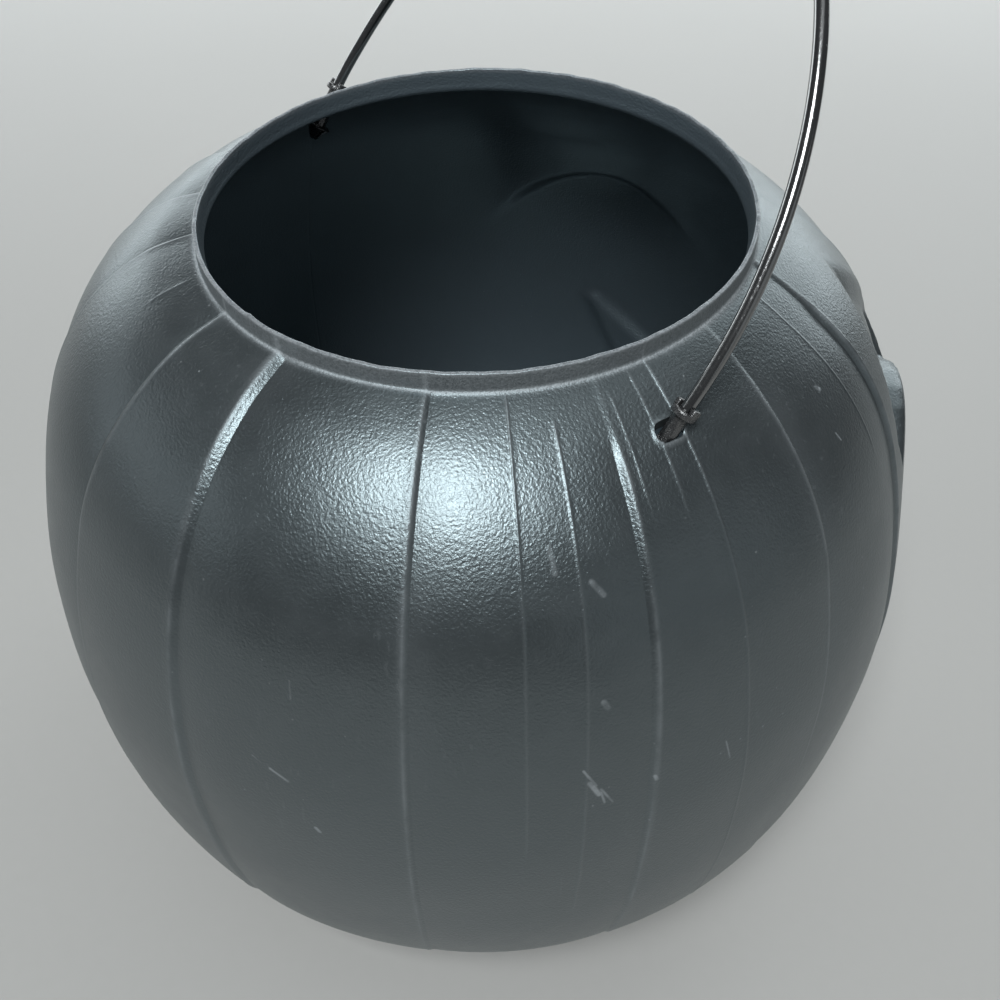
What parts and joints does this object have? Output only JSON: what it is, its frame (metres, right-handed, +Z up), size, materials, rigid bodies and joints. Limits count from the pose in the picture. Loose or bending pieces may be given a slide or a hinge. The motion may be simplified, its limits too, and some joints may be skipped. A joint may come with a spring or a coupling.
{
  "type": "pumpkin candy pail",
  "caption": "Round creased plastic pumpkin pail with a sunken lantern face, a short trimmed neck and a thin rod handle that swings in holes of its shoulder.",
  "frame": {"origin": "middle of the flat base, where the pail stands", "axes": "+Z up, the face looks along -Y, the handle swings about a line along X"},
  "size_m": [0.21, 0.21, 0.2312],
  "materials": {
    "shell_plastic": "satin blow-moulded black with pale scuffs along the creases",
    "rod_plastic": "glossy black rod",
    "plug_plastic": "dull black moulding"
  },
  "bodies": {
    "pail": {"pail_shell": "shell_plastic"},
    "bail": {"bail_rod": "rod_plastic", "left_end_plug": "plug_plastic", "right_end_plug": "plug_plastic"}
  },
  "joints": [
    {"name": "bail_swing", "type": "hinge", "parent": "pail", "child": "bail", "pos_m": [0, 0.0025, 0.1593], "axis": [1, 0, 0], "range_deg": [-72, 0]}
  ]
}
